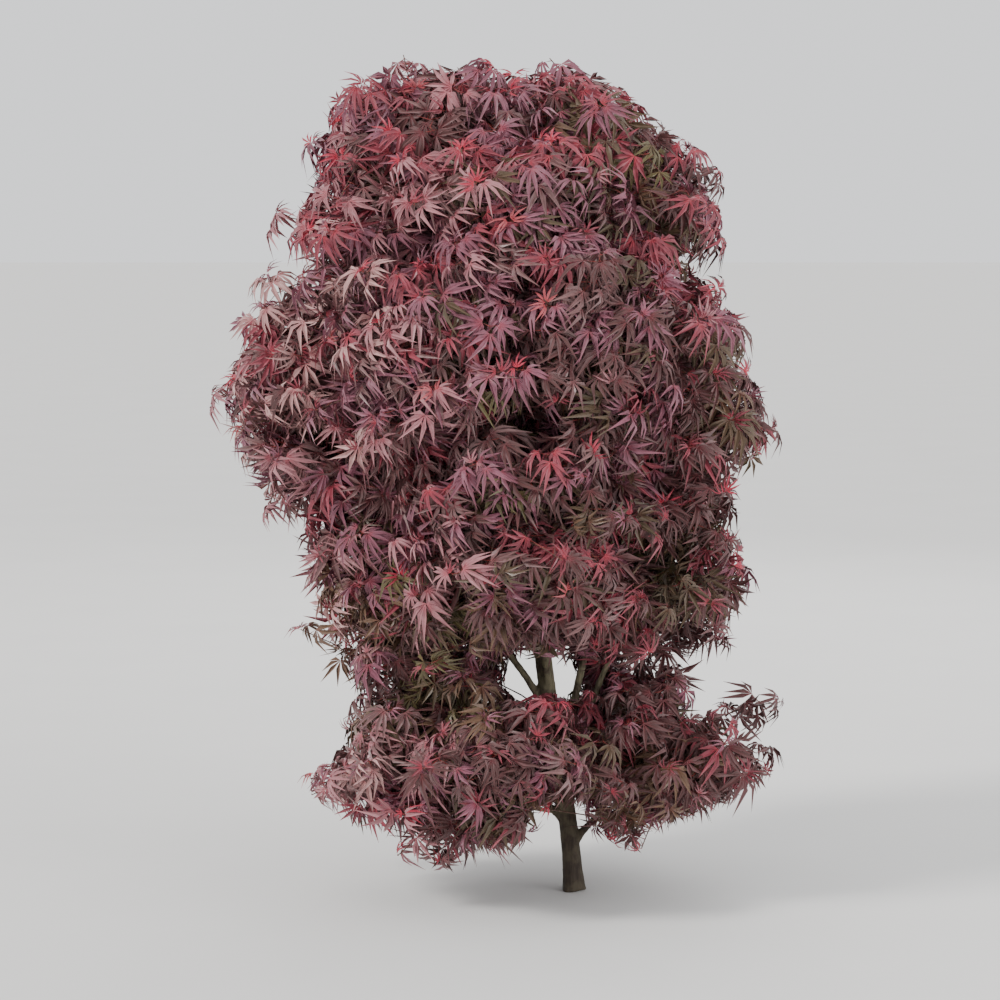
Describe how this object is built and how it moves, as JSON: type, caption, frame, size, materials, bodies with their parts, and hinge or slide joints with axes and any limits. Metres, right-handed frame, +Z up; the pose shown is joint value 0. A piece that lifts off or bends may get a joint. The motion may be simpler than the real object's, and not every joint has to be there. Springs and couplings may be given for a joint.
{
  "type": "red cut-leaved garden maple shrub",
  "caption": "Dense upright garden shrub with a lean flared trunk, rising boughs and masses of drooping, deeply cut plum-red leaves, fixed at a flat cut at ground level.",
  "frame": {"origin": "middle of the flat cut under the trunk, at ground level", "axes": "+Z up the plant, +X to its right as it is usually seen, +Y away from the viewer"},
  "size_m": [0.8266, 0.6312, 1.1931],
  "materials": {
    "bark": "matte grey-brown bark",
    "foliage": "satin plum-red leaf"
  },
  "bodies": {
    "root": {"trunk": "bark", "bough_top_left": "bark", "bough_top_right": "bark", "bough_upper_front": "bark", "bough_upper_left": "bark", "bough_upper_right": "bark", "bough_upper_back": "bark", "bough_middle_left": "bark", "bough_middle_front_left": "bark", "bough_middle_front_right": "bark", "bough_middle_right": "bark", "bough_middle_back_right": "bark", "bough_middle_back_left": "bark", "bough_lower_front": "bark", "bough_low_left": "bark", "bough_low_front": "bark", "bough_low_right": "bark", "bough_low_back": "bark", "bough_skirt_left": "bark", "bough_skirt_front": "bark", "bough_skirt_right": "bark", "bough_skirt_back": "bark", "foliage_top_left": "foliage", "foliage_top_right": "foliage", "foliage_top_back": "foliage", "foliage_upper_front": "foliage", "foliage_upper_left": "foliage", "foliage_upper_right": "foliage", "foliage_upper_back": "foliage", "foliage_middle_left": "foliage", "foliage_middle_front_left": "foliage", "foliage_middle_front_right": "foliage", "foliage_middle_right": "foliage", "foliage_middle_back_right": "foliage", "foliage_middle_back_left": "foliage", "foliage_lower_front": "foliage", "foliage_low_left": "foliage", "foliage_low_front": "foliage", "foliage_low_right": "foliage", "foliage_low_back": "foliage", "foliage_skirt_left": "foliage", "foliage_skirt_front": "foliage", "foliage_skirt_right": "foliage", "foliage_skirt_back": "foliage"}
  },
  "joints": []
}
